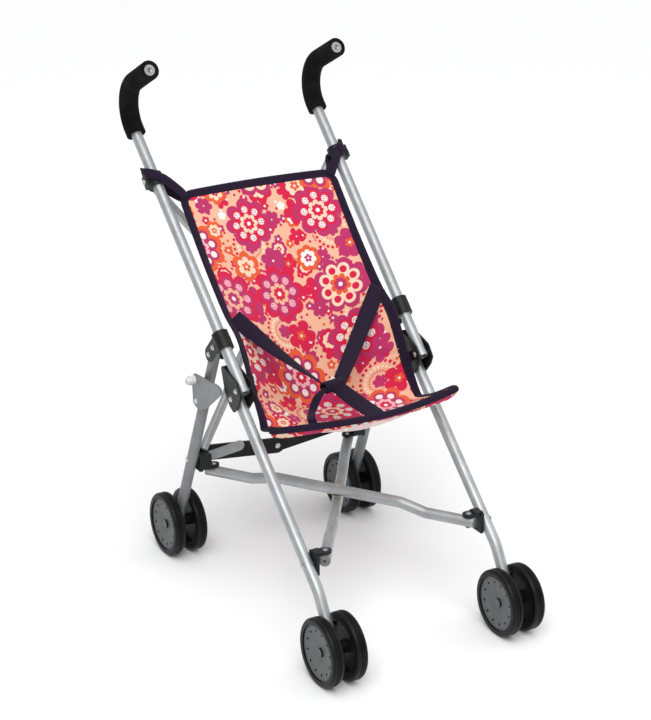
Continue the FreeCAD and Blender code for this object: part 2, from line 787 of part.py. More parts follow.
def build_wheel(side, out, axle, name):
    """One of a twin pair. `out` is the way from the leg, and the hub's dished grey face is on that side."""
    way = V(out, 0, 0)
    inner = axle + way * (TUBE_R + size("wheel_gap"))
    width = size("wheel_width")
    blank = cylinder("Dims.wheel_radius", "Dims.wheel_width", inner, way)
    doc.recompute()
    rounded = doc.addObject("Part::Fillet", "tread")
    rounded.Base = blank
    turn = size("tread_round")
    rounded.Edges = [(n, turn, turn) for n, edge in enumerate(blank.Shape.Edges, start=1)
                     if isinstance(edge.Curve, Part.Circle)]
    bore = cylinder("Dims.rim_radius + Dims.axle_fit", "Dims.wheel_width", inner, way)
    grooves = [ring("Dims.wheel_radius + 1", "Dims.wheel_radius - Dims.groove_depth", "Dims.groove_width",
                    inner + way * (width * share), way) for share in (0.36, 0.56)]
    node(f"{name}_tyre", cut(rounded, bore, *grooves))

    hub_in = inner + way * ((width - size("hub_width")) / 3)
    disc = cylinder("Dims.rim_radius", "Dims.hub_width", hub_in, way)
    dish = cone("Dims.rim_radius * 0.30", "Dims.rim_radius - Dims.rim_wall", "Dims.dish_depth",
                hub_in + way * (size("hub_width") - size("dish_depth")), way)
    back = ring("Dims.rim_radius - Dims.rim_wall", "Dims.hub_cap_radius + 1",
                "Dims.hub_width - Dims.dish_depth - Dims.hub_web", hub_in, way)
    boss = cylinder("Dims.hub_cap_radius", "Dims.wheel_width / 2", inner, way)
    cap = cylinder("Dims.hub_cap_radius - 1", "Dims.hub_width - 0.8", hub_in, way)
    axle_room = cylinder("Dims.axle_radius + Dims.axle_fit", "Dims.wheel_width - 3", inner, way)
    holes = []
    count = int(size("rim_holes"))
    for n in range(count):
        angle = 2 * math.pi * (n + 0.5) / count
        at = hub_in + V(0, math.cos(angle), math.sin(angle)) * size("rim_hole_circle")
        holes.append(cylinder("Dims.rim_hole_radius", "Dims.hub_width", at, way))
    node(f"{name}_hub", cut(fuse(cut(disc, dish, back, *holes), boss, cap), axle_room))


def axle_rod(axle):
    """The axle of a pair of wheels, which ends inside their hubs."""
    reach = TUBE_R + size("wheel_gap") + size("wheel_width") - size("axle_short")
    return cylinder("Dims.axle_radius", 2 * reach, axle - V(reach, 0, 0), V(1, 0, 0))


# ---------------------------------------------------------------- safety catch


def build_catch():
    """Grey plate that turns on the left rear leg and hooks behind the knee bracket, with a white roller."""
    pivot = on_rear_leg(-1, size("catch_down"))
    outward = V(-1, 0, 0)
    stand_off = size("catch_stand_off")
    reach = TUBE_R + stand_off + size("catch_thick")
    outer = pivot + outward * reach
    outline = [(9, 24), (4, 31), (-50, 36), (-60, 34), (-58, 28), (-22, -1), (-5, -8), (7, -4)]
    points = [outer + V(0, y, z) for y, z in outline]
    plate = outline_prism(points, "Dims.catch_thick", V(1, 0, 0), 3.0)
    spacer = cylinder("Dims.catch_spacer", "Dims.catch_stand_off - Dims.bush_play",
                      pivot + outward * (TUBE_R + size("bush_play")), outward)
    node("catch_plate", cut(fuse(plate, spacer), hole(PIN_ROOM, pivot)))
    knob_at = outer + V(0, size("knob_behind"), size("knob_up"))
    knob = fuse(cylinder("Dims.knob_radius", "Dims.knob_length", knob_at, outward),
                cylinder("Dims.knob_radius * 0.7", "Dims.knob_length * 1.36", knob_at, outward))
    knob = cut(knob, cylinder(PIN, "Dims.knob_length / 2", knob_at + outward * size("knob_length"), outward))
    pin = rivet(outer, V(1, 0, 0), reach + TUBE_R, ends=1)
    node("catch_roller_and_rivet", group(knob, pin))


# ---------------------------------------------------------------- seat and harness


def seat_line(side, share):
    """The seat's side view at a share of its half width, from its top edge down to its front edge.

    The two edges follow the handle tubes and come down to the front legs. The middle hangs behind them.
    """
    top = station(0, size("seat_top_y"), size("seat_top_z"))
    fold = station(0, size("seat_fold_y"), size("seat_fold_z"))
    front = station(0, size("seat_front_y"), size("seat_front_z"))
    middle = [top, top + (fold - top) * 0.34, top + (fold - top) * 0.68, top + (fold - top) * 0.93,
              fold + (front - fold) * 0.1, fold + (front - fold) * 0.55, front]
    high = on_handle(side, size("seat_edge_top"))
    low = on_handle(side, size("seat_edge_low"))
    tab = station(0, size("seat_tab_y"), size("seat_tab_z"))
    corner = station(0, size("seat_corner_y"), size("seat_corner_z"))
    edge = [high, high + (low - high) * 0.45, high + (low - high) * 0.9, low + (tab - low) * 0.5, tab,
            tab + (corner - tab) * 0.5, corner]
    hang = 1 - share ** 2
    return [V(side * share * size("seat_half"), e.y + (m.y - e.y) * hang, e.z + (m.z - e.z) * hang)
            for e, m in zip(edge, middle)]


def seat_section(side, share):
    """Closed outline of the sling's cloth in one plane square to the axis across the stroller."""
    line = seat_line(side, share)
    under = []
    for index, point in enumerate(line):
        way = line[min(index + 1, len(line) - 1)] - line[max(index - 1, 0)]
        under.append(point + V(0, -way.z, way.y).normalize() * size("seat_thick"))
    outline = doc.addObject("Part::Feature", "seat_section")
    outline.Shape = Part.makePolygon(line + under[::-1] + [line[0]])
    return outline


def build_seat():
    """The sling, with a tab on each side that reaches the front leg."""
    shares = [-1.0, -0.75, -0.4, 0.0, 0.4, 0.75, 1.0]
    sling = doc.addObject("Part::Loft", "sling")
    sling.Sections = [seat_section(-1 if share < 0 else 1, abs(share)) for share in shares]
    sling.Solid = True
    tabs = []
    for side in (-1, 1):
        tab = station(0, size("seat_tab_y"), size("seat_tab_z"))
        tab.x = side * (size("seat_half") - 1)
        along = (on_front_leg(side, 0) - front_bend(side)).normalize()
        reach = V(side * (size("frame_half") - TUBE_R - 2 * FIT), tab.y, tab.z)
        tabs.append(strap(tab, reach, V(0, along.z, -along.y), "tie_width"))
    node("seat_sling", fuse(sling, *tabs))


def strap(start, end, flat, width):
    """A straight run of webbing. `flat` is the way that its wide face looks."""
    way = (end - start).normalize()
    flat = (flat - way * flat.dot(way)).normalize()
    across = flat.cross(way)
    turn = FreeCAD.Rotation(way, across, flat, "XYZ")
    corner = start - across * (size(width) / 2) - flat * (size("strap_thick") / 2)
    return box((end - start).Length, f"Dims.{width}", "Dims.strap_thick", corner, turn)


def build_harness():
    """Two shoulder straps and a crotch strap, sewn together where they meet."""
    buckle = station(0, size("buckle_y"), size("buckle_z"))
    parts = [box("Dims.buckle_width", "Dims.buckle_length", "Dims.buckle_thick",
                 buckle - V(size("buckle_width"), size("buckle_length"), size("buckle_thick")) * 0.5)]
    for side in (-1, 1):
        anchor = on_handle(side, size("harness_up"))
        anchor.x = side * (size("seat_half") - size("harness_in"))
        parts.append(strap(anchor, buckle, V(0, -0.6, 0.8), "strap_width"))
    hem = station(0, size("seat_front_y") + 3, size("seat_front_z") + size("strap_thick") / 2 + 3 * FIT)
    parts.append(strap(buckle, hem, V(0, -0.3, 1), "strap_width"))
    node("harness", fuse(*parts))


# ---------------------------------------------------------------- assembly

build_seat()
build_harness()
for side, name in ((-1, "left"), (1, "right")):
    build_handle(side, name)
    screw = build_upper_clamp(side, name)
    pins = build_pivot_clamp(side, name)
    node(f"{name}_clamp_rivets", group(screw, *pins))
    build_tie_strap(side, name)
    build_front_leg(side, name)
    build_knee_bracket(side, name)
    build_rear_leg(side, name)
    build_lower_brace(side, name)
    build_rear_bracket(side, name)
    build_front_bracket(side, name)
    build_back_brace(side, name)
    build_lock_bar(side, name)
    node(f"{name}_front_axle", axle_rod(front_axle(side)))
    build_rear_pins(side, name)
    for axle, end in ((front_axle(side), "front"), (rear_axle(side), "rear")):
        for out, place in ((-side, "inner"), (side, "outer")):
            build_wheel(side, out, axle, f"{name}_{end}_{place}")
build_catch()

doc.recompute()
for obj in doc.Objects:
    if "Invalid" in obj.State or "Error" in obj.State:
        raise RuntimeError(f"{obj.Name} ({obj.Label}) did not build: {obj.State}")
for obj in NODES:
    if obj.Shape.isNull() or not obj.Shape.isValid():
        raise RuntimeError(f"{obj.Label} has no valid shape")
for obj in NODES:
    obj.Shape.exportStep(f"parts/{obj.Label}.step")
print(len(NODES), "sub-parts")
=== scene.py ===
import bpy
import math
import numpy as np
from mathutils import Matrix, Vector


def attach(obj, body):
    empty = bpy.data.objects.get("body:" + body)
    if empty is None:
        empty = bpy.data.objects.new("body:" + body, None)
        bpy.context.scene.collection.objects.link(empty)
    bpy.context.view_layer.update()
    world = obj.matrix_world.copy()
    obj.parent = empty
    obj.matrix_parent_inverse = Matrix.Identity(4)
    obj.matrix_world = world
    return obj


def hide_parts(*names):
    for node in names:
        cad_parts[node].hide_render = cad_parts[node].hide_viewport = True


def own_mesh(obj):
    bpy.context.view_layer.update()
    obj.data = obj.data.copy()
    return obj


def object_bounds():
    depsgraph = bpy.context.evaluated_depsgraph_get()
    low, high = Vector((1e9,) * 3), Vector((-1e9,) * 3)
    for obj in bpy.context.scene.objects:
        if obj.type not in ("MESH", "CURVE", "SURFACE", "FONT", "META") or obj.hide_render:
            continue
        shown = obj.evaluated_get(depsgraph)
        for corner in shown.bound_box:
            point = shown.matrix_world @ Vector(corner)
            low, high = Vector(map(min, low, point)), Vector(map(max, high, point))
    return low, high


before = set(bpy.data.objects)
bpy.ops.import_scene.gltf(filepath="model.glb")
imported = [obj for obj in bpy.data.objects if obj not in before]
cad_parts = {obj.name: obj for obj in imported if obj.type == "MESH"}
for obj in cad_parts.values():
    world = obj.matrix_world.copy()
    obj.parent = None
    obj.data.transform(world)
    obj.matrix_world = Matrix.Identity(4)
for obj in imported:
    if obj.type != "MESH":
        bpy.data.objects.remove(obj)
cad_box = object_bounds()

# Shapes are worked out in mm in the row frame: -Y is the front, +Z is up, and the origin is on the ground
# in the middle of the length and width. Colours, lights and the camera are in Blender's own units.
MM = 0.001
FRONT_AXLE_Y = -207.83
SIDES = (("left", -1), ("right", 1))


def station(x, y, z):
    """A point in mm, with y counted from the front axle."""
    return np.array([x, FRONT_AXLE_Y + y, z], float)


# ---------------------------------------------------------------- material helpers


class Look:
    """Builds one procedural material around a Principled shader."""

    def __init__(self, name, **values):
        """Each value goes to the shader's socket of that name, written with _ for a space."""
        self.mat = bpy.data.materials.new(name)
        self.mat.use_nodes = True
        self.tree = self.mat.node_tree
        self.bsdf = self.tree.nodes["Principled BSDF"]
        for key, value in values.items():
            self.set(key.replace("_", " "), value)

    def plug(self, node, socket, value):
        """Links the value to a node's socket if it is a socket too, or else sets it there."""
        target = node.inputs[socket]
        if isinstance(value, bpy.types.NodeSocket):
            self.tree.links.new(value, target)
        else:
            target.default_value = value

    def set(self, socket, value):
        self.plug(self.bsdf, socket, value)

    def node(self, kind, **settings):
        made = self.tree.nodes.new(kind)
        for key, value in settings.items():
            setattr(made, key, value)
        return made

    def math(self, kind, a, b=0.0, c=0.0, clamp=False):
        made = self.node("ShaderNodeMath", operation=kind, use_clamp=clamp)
        for index, value in enumerate((a, b, c)):
            self.plug(made, index, value)
        return made.outputs[0]

    def length(self, x, y):
        squares = [self.math("MULTIPLY", value, value) for value in (x, y)]
        return self.math("SQRT", self.math("ADD", *squares))

    def vector(self, kind, a, b):
        made = self.node("ShaderNodeVectorMath", operation=kind)
        self.plug(made, 0, a)
        self.plug(made, 1, b)
        return made.outputs[0]

    def scaled(self, vector, factor):
        made = self.node("ShaderNodeVectorMath", operation="SCALE")
        self.plug(made, 0, vector)
        self.plug(made, "Scale", factor)
        return made.outputs[0]

    def split(self, vector):
        made = self.node("ShaderNodeSeparateXYZ")
        self.plug(made, 0, vector)
        return made.outputs

    def object_coords(self):
        return self.node("ShaderNodeTexCoord").outputs["Object"]

    def noise(self, coords, scale, detail=2.0, roughness=0.5):
        made = self.node("ShaderNodeTexNoise")
        self.plug(made, "Vector", coords)
        self.plug(made, "Scale", scale)
        self.plug(made, "Detail", detail)
        self.plug(made, "Roughness", roughness)
        return made.outputs[0]

    def spread(self, value, low, high, to_low=0.0, to_high=1.0):
        """The value, with its range from low to high stretched to the new range."""
        made = self.node("ShaderNodeMapRange")
        for index, v in enumerate((value, low, high, to_low, to_high)):
            self.plug(made, index, v)
        return made.outputs[0]

    def mix(self, share, a, b):
        """A colour between a and b, each a socket or (red, green, blue)."""
        made = self.node("ShaderNodeMix", data_type="RGBA")
        self.plug(made, 0, share)
        for index, value in ((6, a), (7, b)):
            self.plug(made, index, (*value, 1.0) if isinstance(value, tuple) else value)
        return made.outputs[2]

    def bands(self, value, stops):
        """A colour for each range of the value, without blending: stops are (start, colour)."""
        made = self.node("ShaderNodeValToRGB")
        self.plug(made, 0, value)
        band = made.color_ramp
        band.interpolation = "CONSTANT"
        while len(band.elements) < len(stops):
            band.elements.new(0.5)
        for element, (at, colour) in zip(band.elements, stops):
            element.position = at
            element.color = (*colour, 1.0)
        return made.outputs[0]

    def bump(self, height, strength, distance):
        made = self.node("ShaderNodeBump")
        self.plug(made, "Height", height)
        self.plug(made, "Strength", strength)
        self.plug(made, "Distance", distance)
        self.set("Normal", made.outputs[0])


# Waves for each metre of the noise that varies a finish: in colour, and in gloss.
MOTTLE = 45.0
SMEAR = 160.0
FINE_GRAIN_DEPTH = 0.0002


def grained(name, light, dark, rough, grain, depth, metallic=0.0, specular=0.5):
    """Paint, plastic or metal: slight mottling, uneven gloss and a fine grain in the surface.

    rough is the lowest and the highest roughness, grain the fineness and depth the height of the grain.
    """
    look = Look(name, Metallic=metallic, Specular_IOR_Level=specular)
    coords = look.object_coords()
    mottle = look.noise(coords, MOTTLE, 3.0)
    smear = look.noise(coords, SMEAR, 4.0, 0.65)
    look.set("Base Color", look.mix(look.spread(mottle, 0.35, 0.68), dark, light))
    look.set("Roughness", look.spread(smear, 0.3, 0.72, *rough))
    look.bump(look.noise(coords, grain, 2.0, 0.6), 0.25, depth)
    return look


HUB_GREYS = (0.085, 0.095, 0.098), (0.120, 0.130, 0.134)
HUB_BLACK = (0.008, 0.008, 0.009)


def hub_look(name, way):
    """Grey plastic on the wheel's dished face and black behind, by the way along X that a face looks."""
    look = Look(name, Specular_IOR_Level=0.25)
    coords = look.object_coords()
    normal = look.split(look.node("ShaderNodeTexCoord").outputs["Normal"])
    outer = look.spread(look.math("MULTIPLY", normal[0], way), 0.05, 0.3)
    grey = look.mix(look.noise(coords, 2 * MOTTLE, 3.0), *HUB_GREYS)
    look.set("Base Color", look.mix(outer, HUB_BLACK, grey))
    look.set("Roughness", look.spread(look.noise(coords, 300.0), 0.3, 0.7, 0.38, 0.52))
    look.bump(look.noise(coords, 1800.0, 1.0), 0.15, FINE_GRAIN_DEPTH)
    return look


SPLIT_BLEND = 0.002


def split_look(name, axis, at, below, above, rough, metallic=0.0, folded=False):
    """Two finishes in one node, told apart by where they are along an axis of the row frame, in metres.

    folded counts the distance alike on both sides of the middle.
    """
    look = Look(name, Metallic=metallic)
    coords = look.object_coords()
    place = look.split(coords)[axis]
    if folded:
        place = look.math("ABSOLUTE", place)
    share = look.spread(place, at - SPLIT_BLEND, at + SPLIT_BLEND)
    grain = look.noise(coords, 220.0, 3.0)
    tone = look.spread(grain, 0.3, 0.7, 0.88, 1.08)
    look.set("Base Color", look.scaled(look.mix(share, below, above), tone))
    look.set("Roughness", look.spread(grain, 0.3, 0.7, rough - 0.05, rough + 0.08))
    look.bump(look.noise(coords, 1500.0, 1.0), 0.15, FINE_GRAIN_DEPTH)
    return look


# ---------------------------------------------------------------- finishes of the frame

PAINT = grained("silver_paint", (0.42, 0.435, 0.445), (0.35, 0.365, 0.375),
                rough=(0.36, 0.50), grain=1400.0, depth=0.0003, metallic=0.7)
STEEL = grained("grey_paint", (0.23, 0.24, 0.25), (0.185, 0.195, 0.205),
                rough=(0.38, 0.52), grain=1600.0, depth=0.0003, metallic=0.4)
BLACK = grained("black_plastic", (0.011, 0.012, 0.013), (0.006, 0.0065, 0.007),
                rough=(0.30, 0.46), grain=2600.0, depth=0.0003, specular=0.22)
BLACK_BAR = grained("black_steel", (0.011, 0.011, 0.012), (0.006, 0.006, 0.007),
                    rough=(0.36, 0.5), grain=1800.0, depth=0.0003, specular=0.2)
RIVET = grained("bright_rivet", (0.58, 0.58, 0.57), (0.46, 0.46, 0.45),
                rough=(0.18, 0.32), grain=2200.0, depth=0.0002, metallic=0.95)
FOAM = grained("foam", (0.010, 0.010, 0.0105), (0.004, 0.004, 0.0045),
               rough=(0.86, 0.97), grain=2200.0, depth=0.0016, specular=0.08)
RUBBER = grained("tyre", (0.0065, 0.0065, 0.007), (0.003, 0.003, 0.0033),
                 rough=(0.32, 0.46), grain=2000.0, depth=0.0004, specular=0.18)
LINK = grained("link_grey", (0.36, 0.37, 0.375), (0.29, 0.30, 0.305),
               rough=(0.40, 0.54), grain=1500.0, depth=0.0003, metallic=0.4)
PLUG = grained("plug_metal", (0.30, 0.31, 0.31), (0.16, 0.165, 0.165),
               rough=(0.22, 0.38), grain=1800.0, depth=0.0003, metallic=0.9)
HUBS = {way: hub_look(f"hub_grey_{side_name}", way) for side_name, way in SIDES}
# Brass near the middle, for the bush at the crossing, and grey towards the tubes' ends, for the plugs.
FITTINGS = split_look("plug_and_bush", axis=0, at=0.045, below=(0.42, 0.37, 0.26), above=(0.20, 0.21, 0.22),
                      rough=0.38, metallic=0.5, folded=True)
# White above, for the roller, and grey below, for the rivet.
ROLLER = split_look("white_roller", axis=2, at=0.232, below=(0.55, 0.55, 0.55), above=(0.72, 0.72, 0.70),
                    rough=0.36)

NODE_LOOKS = {
    "handle_tube": PAINT, "front_leg": PAINT, "lower_brace": PAINT, "back_brace": PAINT,
    "rear_leg": STEEL, "lock_link": LINK, "catch_plate": STEEL,
    "upper_clamp": BLACK, "pivot_clamp": BLACK, "knee_bracket": BLACK, "rear_brace_bracket": BLACK,
    "front_brace_bracket": BLACK, "lock_bar": BLACK_BAR, "grip": FOAM,
    "clamp_rivets": RIVET, "front_leg_rivets": RIVET, "front_axle": RIVET, "rear_axle_and_rivets": RIVET,
    "rear_bracket_rivets": RIVET, "brace_fittings": FITTINGS, "catch_roller_and_rivet": ROLLER,
}


def hub_way(name):
    """The way along X that a hub's dished face looks: outwards on outer wheels, inwards on inner ones."""
    side = -1 if name.startswith("left") else 1
    return side if "outer" in name else -side


def look_of(name):
    """The look of a CAD node, or None for one that another piece replaces."""
    if name.endswith("_tyre"):
        return RUBBER
    if name.endswith("_hub"):
        return HUBS[hub_way(name)]
    return NODE_LOOKS.get(name.removeprefix("left_").removeprefix("right_"))


for name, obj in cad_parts.items():
    node_look = look_of(name)
    if node_look is not None:
        obj.data.materials.clear()
        obj.data.materials.append(node_look.mat)


# ---------------------------------------------------------------- printed cotton

CREAM = (0.76, 0.405, 0.27)
MAGENTA = (0.43, 0.026, 0.118)
CRIMSON = (0.58, 0.010, 0.055)
ORANGE = (0.68, 0.095, 0.030)
WHITE = (0.79, 0.73, 0.71)
PINK = (0.80, 0.41, 0.45)
PALE = (0.82, 0.58, 0.43)
GROUND = (0.73, 0.385, 0.26), (0.79, 0.44, 0.30)
FADED = (0.93, 0.84, 0.80)
FADED_SHARE = 0.72


class Print:
    """The flowered print, painted from the back to the front in flat cloth coordinates in mm."""

    def __init__(self, look, coords, ground):
        self.look = look
        self.coords = coords
        self.colour = ground

    def scatter(self, cell, loose, shift):
        """One centre for each cell: the distance from it in mm, the angle round it and two random numbers."""
        look = self.look
        small = look.scaled(look.vector("ADD", self.coords, (*shift, 0.0)), 1.0 / cell)
        cells = look.node("ShaderNodeTexVoronoi", voronoi_dimensions="2D", feature="F1")
        look.plug(cells, "Vector", small)
        look.plug(cells, "Scale", 1.0)
        look.plug(cells, "Randomness", loose)
        away = look.scaled(look.vector("SUBTRACT", small, cells.outputs["Position"]), cell)
        x, y, _ = look.split(away)
        chance = look.node("ShaderNodeSeparateColor")
        look.plug(chance, 0, cells.outputs["Color"])
        start = look.math("MULTIPLY", chance.outputs[2], math.tau)
        turn = look.math("ADD", look.math("ARCTAN2", y, x), start)
        return look.length(x, y), turn, chance.outputs[0], chance.outputs[1]

    def disc(self, radius, size, edge=0.35):
        """Mask of the points nearer than size, with a soft edge of the given width."""
        return self.look.math("DIVIDE", self.look.math("SUBTRACT", size, radius), edge, clamp=True)

    def petals(self, radius, turn, count, at, size):
        """Mask of `count` round spots of radius `size`, set in a ring of radius `at`."""
        look = self.look
        step = look.math("DIVIDE", math.tau, count)
        half = look.math("MULTIPLY", step, 0.5)
        folded = look.math("SUBTRACT", look.math("FLOORED_MODULO", turn, step), half)
        along = look.math("SUBTRACT", look.math("MULTIPLY", radius, look.math("COSINE", folded)), at)
        across = look.math("MULTIPLY", radius, look.math("SINE", folded))
        return self.disc(look.length(along, across), size)

    def flower(self, radius, turn, count, at, size, middle):
        """Petals round a disc of radius `middle`."""
        petals = self.petals(radius, turn, count, at, size)
        return self.look.math("MAXIMUM", petals, self.disc(radius, middle))

    def keep(self, mask, *others):
        for other in others:
            mask = self.look.math("MULTIPLY", mask, other)
        return mask

    def above(self, chance, least):
        return self.look.math("GREATER_THAN", chance, least)

    def paint(self, mask, colour):
        self.colour = self.look.mix(mask, self.colour, colour)

    def pick(self, chance, *colours):
        """One of the colours, by a random number from 0 to 1."""
        return self.look.bands(chance, [(n / len(colours), colour) for n, colour in enumerate(colours)])

    def small(self):
        """Loose dots and tiny five-petalled flowers."""
        radius, _, chance, other = self.scatter(11.5, 0.8, (3.0, 1.0))
        dots = self.keep(self.disc(radius, 1.7), self.above(chance, 0.22))
        self.paint(dots, self.pick(other, CRIMSON, MAGENTA, ORANGE, WHITE, CRIMSON, MAGENTA))
        radius, turn, chance, other = self.scatter(19.0, 0.62, (7.0, 12.0))
        here = self.above(chance, 0.12)
        shape = self.flower(radius, turn, 5.0, 3.0, 2.2, 3.0)
        self.paint(self.keep(shape, here), self.pick(other, MAGENTA, CRIMSON, WHITE, ORANGE, CRIMSON))
        self.paint(self.keep(self.disc(radius, 1.5), here), WHITE)

    def medium(self, cell, shift, least, scale):
        """Flowers of five to eight petals. A centre is left empty where its chance is under `least`."""
        look = self.look
        radius, turn, chance, other = self.scatter(cell, 0.5, shift)
        here = self.above(chance, least)
        count = look.math("ADD", 5.0, look.math("FLOOR", look.math("MULTIPLY", other, 3.99)))
        size = look.spread(chance, least, 1.0, 0.85 * scale, 1.2 * scale)
        near = look.math("DIVIDE", radius, size)
        outer = self.flower(near, turn, count, 6.4, 3.7, 6.0)
        self.paint(self.keep(outer, here), self.pick(other, CRIMSON, MAGENTA, ORANGE, CRIMSON, MAGENTA))
        inside = self.keep(self.flower(near, turn, count, 4.3, 2.3, 4.3), here, self.above(other, 0.4))
        self.paint(inside, self.pick(chance, PINK, PALE, WHITE, PALE))
        heart = self.flower(near, turn, 5.0, 2.0, 1.3, 1.9)
        self.paint(self.keep(heart, here), self.pick(chance, MAGENTA, CRIMSON, MAGENTA, ORANGE))
        self.paint(self.keep(self.disc(near, 1.0), here), WHITE)

    def beads(self):
        """Rings of dots round a plain middle, with a small flower in it."""
        radius, turn, _, other = self.scatter(88.0, 0.3, (35.0, 22.0))
        self.paint(self.disc(radius, 23.5), CREAM)
        self.paint(self.petals(radius, turn, 24.0, 20.5, 1.9), CRIMSON)
        self.paint(self.petals(radius, turn, 22.0, 15.5, 1.9), PALE)
        self.paint(self.petals(radius, turn, 24.0, 11.0, 1.0), CRIMSON)
        self.paint(self.flower(radius, turn, 6.0, 5.0, 3.0, 4.6), self.pick(other, MAGENTA, CRIMSON))

    def large(self, cell, shift, least):
        """Flowers of eight petals in four rings of colour, the second one with speckled spots."""
        look = self.look
        far, turn, chance, other = self.scatter(cell, 0.42, shift)
        here = self.above(chance, least)
        radius = look.math("DIVIDE", far, look.spread(chance, least, 1.0, 1.12, 1.34))
        petals = 8.0

        def ring(at, size, middle, *colours):
            shape = self.flower(radius, turn, petals, at, size, middle)
            self.paint(self.keep(shape, here), self.pick(other, *colours))

        ring(17.5, 7.2, 18.0, MAGENTA, CRIMSON, MAGENTA, ORANGE)
        ring(14.2, 5.6, 14.0, CRIMSON, MAGENTA, PALE, MAGENTA)
        spots = self.keep(self.petals(radius, turn, petals, 13.6, 3.4), here)
        self.paint(spots, self.pick(other, WHITE, PINK, CRIMSON, WHITE))
        specks, _, _, _ = self.scatter(2.3, 0.5, (0.4, 0.2))
        speckled = self.keep(self.disc(specks, 0.75, 0.25), spots)
        self.paint(speckled, self.pick(other, MAGENTA, CRIMSON, PALE))
        ring(7.0, 2.8, 7.0, PALE, CREAM, ORANGE, PINK)
        ring(4.2, 1.9, 4.0, CRIMSON, MAGENTA, CRIMSON)
        self.paint(self.keep(self.disc(radius, 2.1), here), WHITE)


def weave(look, coords, pitch):
    """Height of a plain weave, from -1 to 1. The pitch is in mm."""
    along, across, _ = look.split(coords)
    warp = look.math("SINE", look.math("MULTIPLY", along, math.tau / pitch))
    weft = look.math("SINE", look.math("MULTIPLY", across, math.tau / pitch))
    return look.math("MULTIPLY", warp, weft)


def flat_coords(look):
    """The cloth's flat coordinates in mm, from the mesh's own flat map, which is in metres."""
    return look.scaled(look.node("ShaderNodeUVMap", uv_map="flat").outputs[0], 1.0 / MM)


def printed_cotton(name, faded):
    """The seat's cloth. Its reverse shows the same print, faded."""
    look = Look(name, Roughness=0.85, Sheen_Weight=0.12, Specular_IOR_Level=0.2)
    coords = flat_coords(look)
    pattern = Print(look, coords, look.mix(look.noise(coords, 0.05, 2.0), *GROUND))
    pattern.small()
    pattern.medium(cell=25.0, shift=(4.0, 9.0), least=0.08, scale=1.0)
    pattern.beads()
    pattern.medium(cell=42.0, shift=(21.0, 3.0), least=0.30, scale=1.5)
    pattern.large(cell=72.0, shift=(30.0, 31.0), least=0.10)
    colour = look.mix(FADED_SHARE, pattern.colour, FADED) if faded else pattern.colour
    look.set("Base Color", colour)
    look.bump(weave(look, coords, 0.55), 0.25, 0.0002)
    return look


def webbing(name, dark, light, rib):
    """Woven tape: darker between its ribs, which lie `rib` mm apart, as painted shade, and unevenly worn."""
    look = Look(name, Specular_IOR_Level=0.12, Sheen_Weight=0.04)
    coords = flat_coords(look)
    woven = weave(look, coords, rib)
    patch = look.noise(coords, 0.12, 3.0)
    # Painted shade: the colour darkens with the weave's height, in the valleys between the ribs. The broad
    # patches add uneven wear.
    tone = look.math("ADD", look.spread(woven, -1.0, 1.0, 0.0, 0.45), look.math("MULTIPLY", patch, 0.5))
    look.set("Base Color", look.mix(tone, dark, light))
    look.set("Roughness", look.spread(patch, 0.3, 0.7, 0.7, 0.9))
    look.bump(woven, 0.5, 0.0004)
    return look


COTTON = printed_cotton("printed_cotton", False)
REVERSE = printed_cotton("cotton_reverse", True)
NAVY = webbing("navy_webbing", (0.007, 0.0035, 0.013), (0.024, 0.012, 0.036), 0.9)
THREAD = grained("thread", (0.060, 0.036, 0.080), (0.035, 0.020, 0.050),
                 rough=(0.6, 0.8), grain=3000.0, depth=0.0002, specular=0.15)

# ---------------------------------------------------------------- mesh helpers


def mesh_from(name, points, faces, looks, uv=None, face_looks=None):
    """points in mm in the row frame. uv is in metres of flat cloth, one for each point."""
    points = np.asarray(points, float)
    centre = points.mean(axis=0)
    # Six times the volume that the faces close in. Below zero, they look inwards and are turned round.
    inside = 0.0
    for face in faces:
        corners = points[list(face)] - centre
        for k in range(1, len(corners) - 1):
            inside += np.dot(corners[0], np.cross(corners[k], corners[k + 1]))
    if inside < 0:
        faces = [face[::-1] for face in faces]
    data = bpy.data.meshes.new(name)
    data.from_pydata([tuple(p * MM) for p in points], [], [tuple(map(int, f)) for f in faces])
    for look in looks:
        data.materials.append(look.mat)
    if face_looks is not None:
        data.polygons.foreach_set("material_index", np.asarray(face_looks, np.int32))
    if uv is not None:
        layer = data.uv_layers.new(name="flat")
        index = np.zeros(len(data.loops), np.int32)
        data.loops.foreach_get("vertex_index", index)
        layer.data.foreach_set("uv", np.asarray(uv, float)[index].ravel())
    data.polygons.foreach_set("use_smooth", [True] * len(data.polygons))
    data.update()
    obj = bpy.data.objects.new(name, data)
    bpy.context.scene.collection.objects.link(obj)
    return obj


def unit(v):
    v = np.asarray(v, float)
    return v / np.maximum(np.linalg.norm(v, axis=-1, keepdims=True), 1e-9)


def distance_along(line):
    """How far along a line of points each of them is."""
    return np.concatenate([[0], np.cumsum(np.linalg.norm(np.diff(line, axis=0), axis=1))])


def smooth_line(points, count):
    """A Catmull-Rom line through the points, at even steps along its length."""
    p = np.asarray(points, float)
    p = np.vstack([2 * p[0] - p[1], p, 2 * p[-1] - p[-2]])
    out = []
    for i in range(1, len(p) - 2):
        t = np.linspace(0, 1, 24, endpoint=False)[:, None]
        a, b, c, d = p[i - 1], p[i], p[i + 1], p[i + 2]
        out.append(0.5 * (2 * b + (c - a) * t + (2 * a - 5 * b + 4 * c - d) * t ** 2
                          + (3 * b - a - 3 * c + d) * t ** 3))
    line = np.vstack(out + [p[-2][None]])
    reach = distance_along(line)
    want = np.linspace(0, reach[-1], count)
    return np.column_stack([np.interp(want, reach, line[:, k]) for k in range(line.shape[1])])


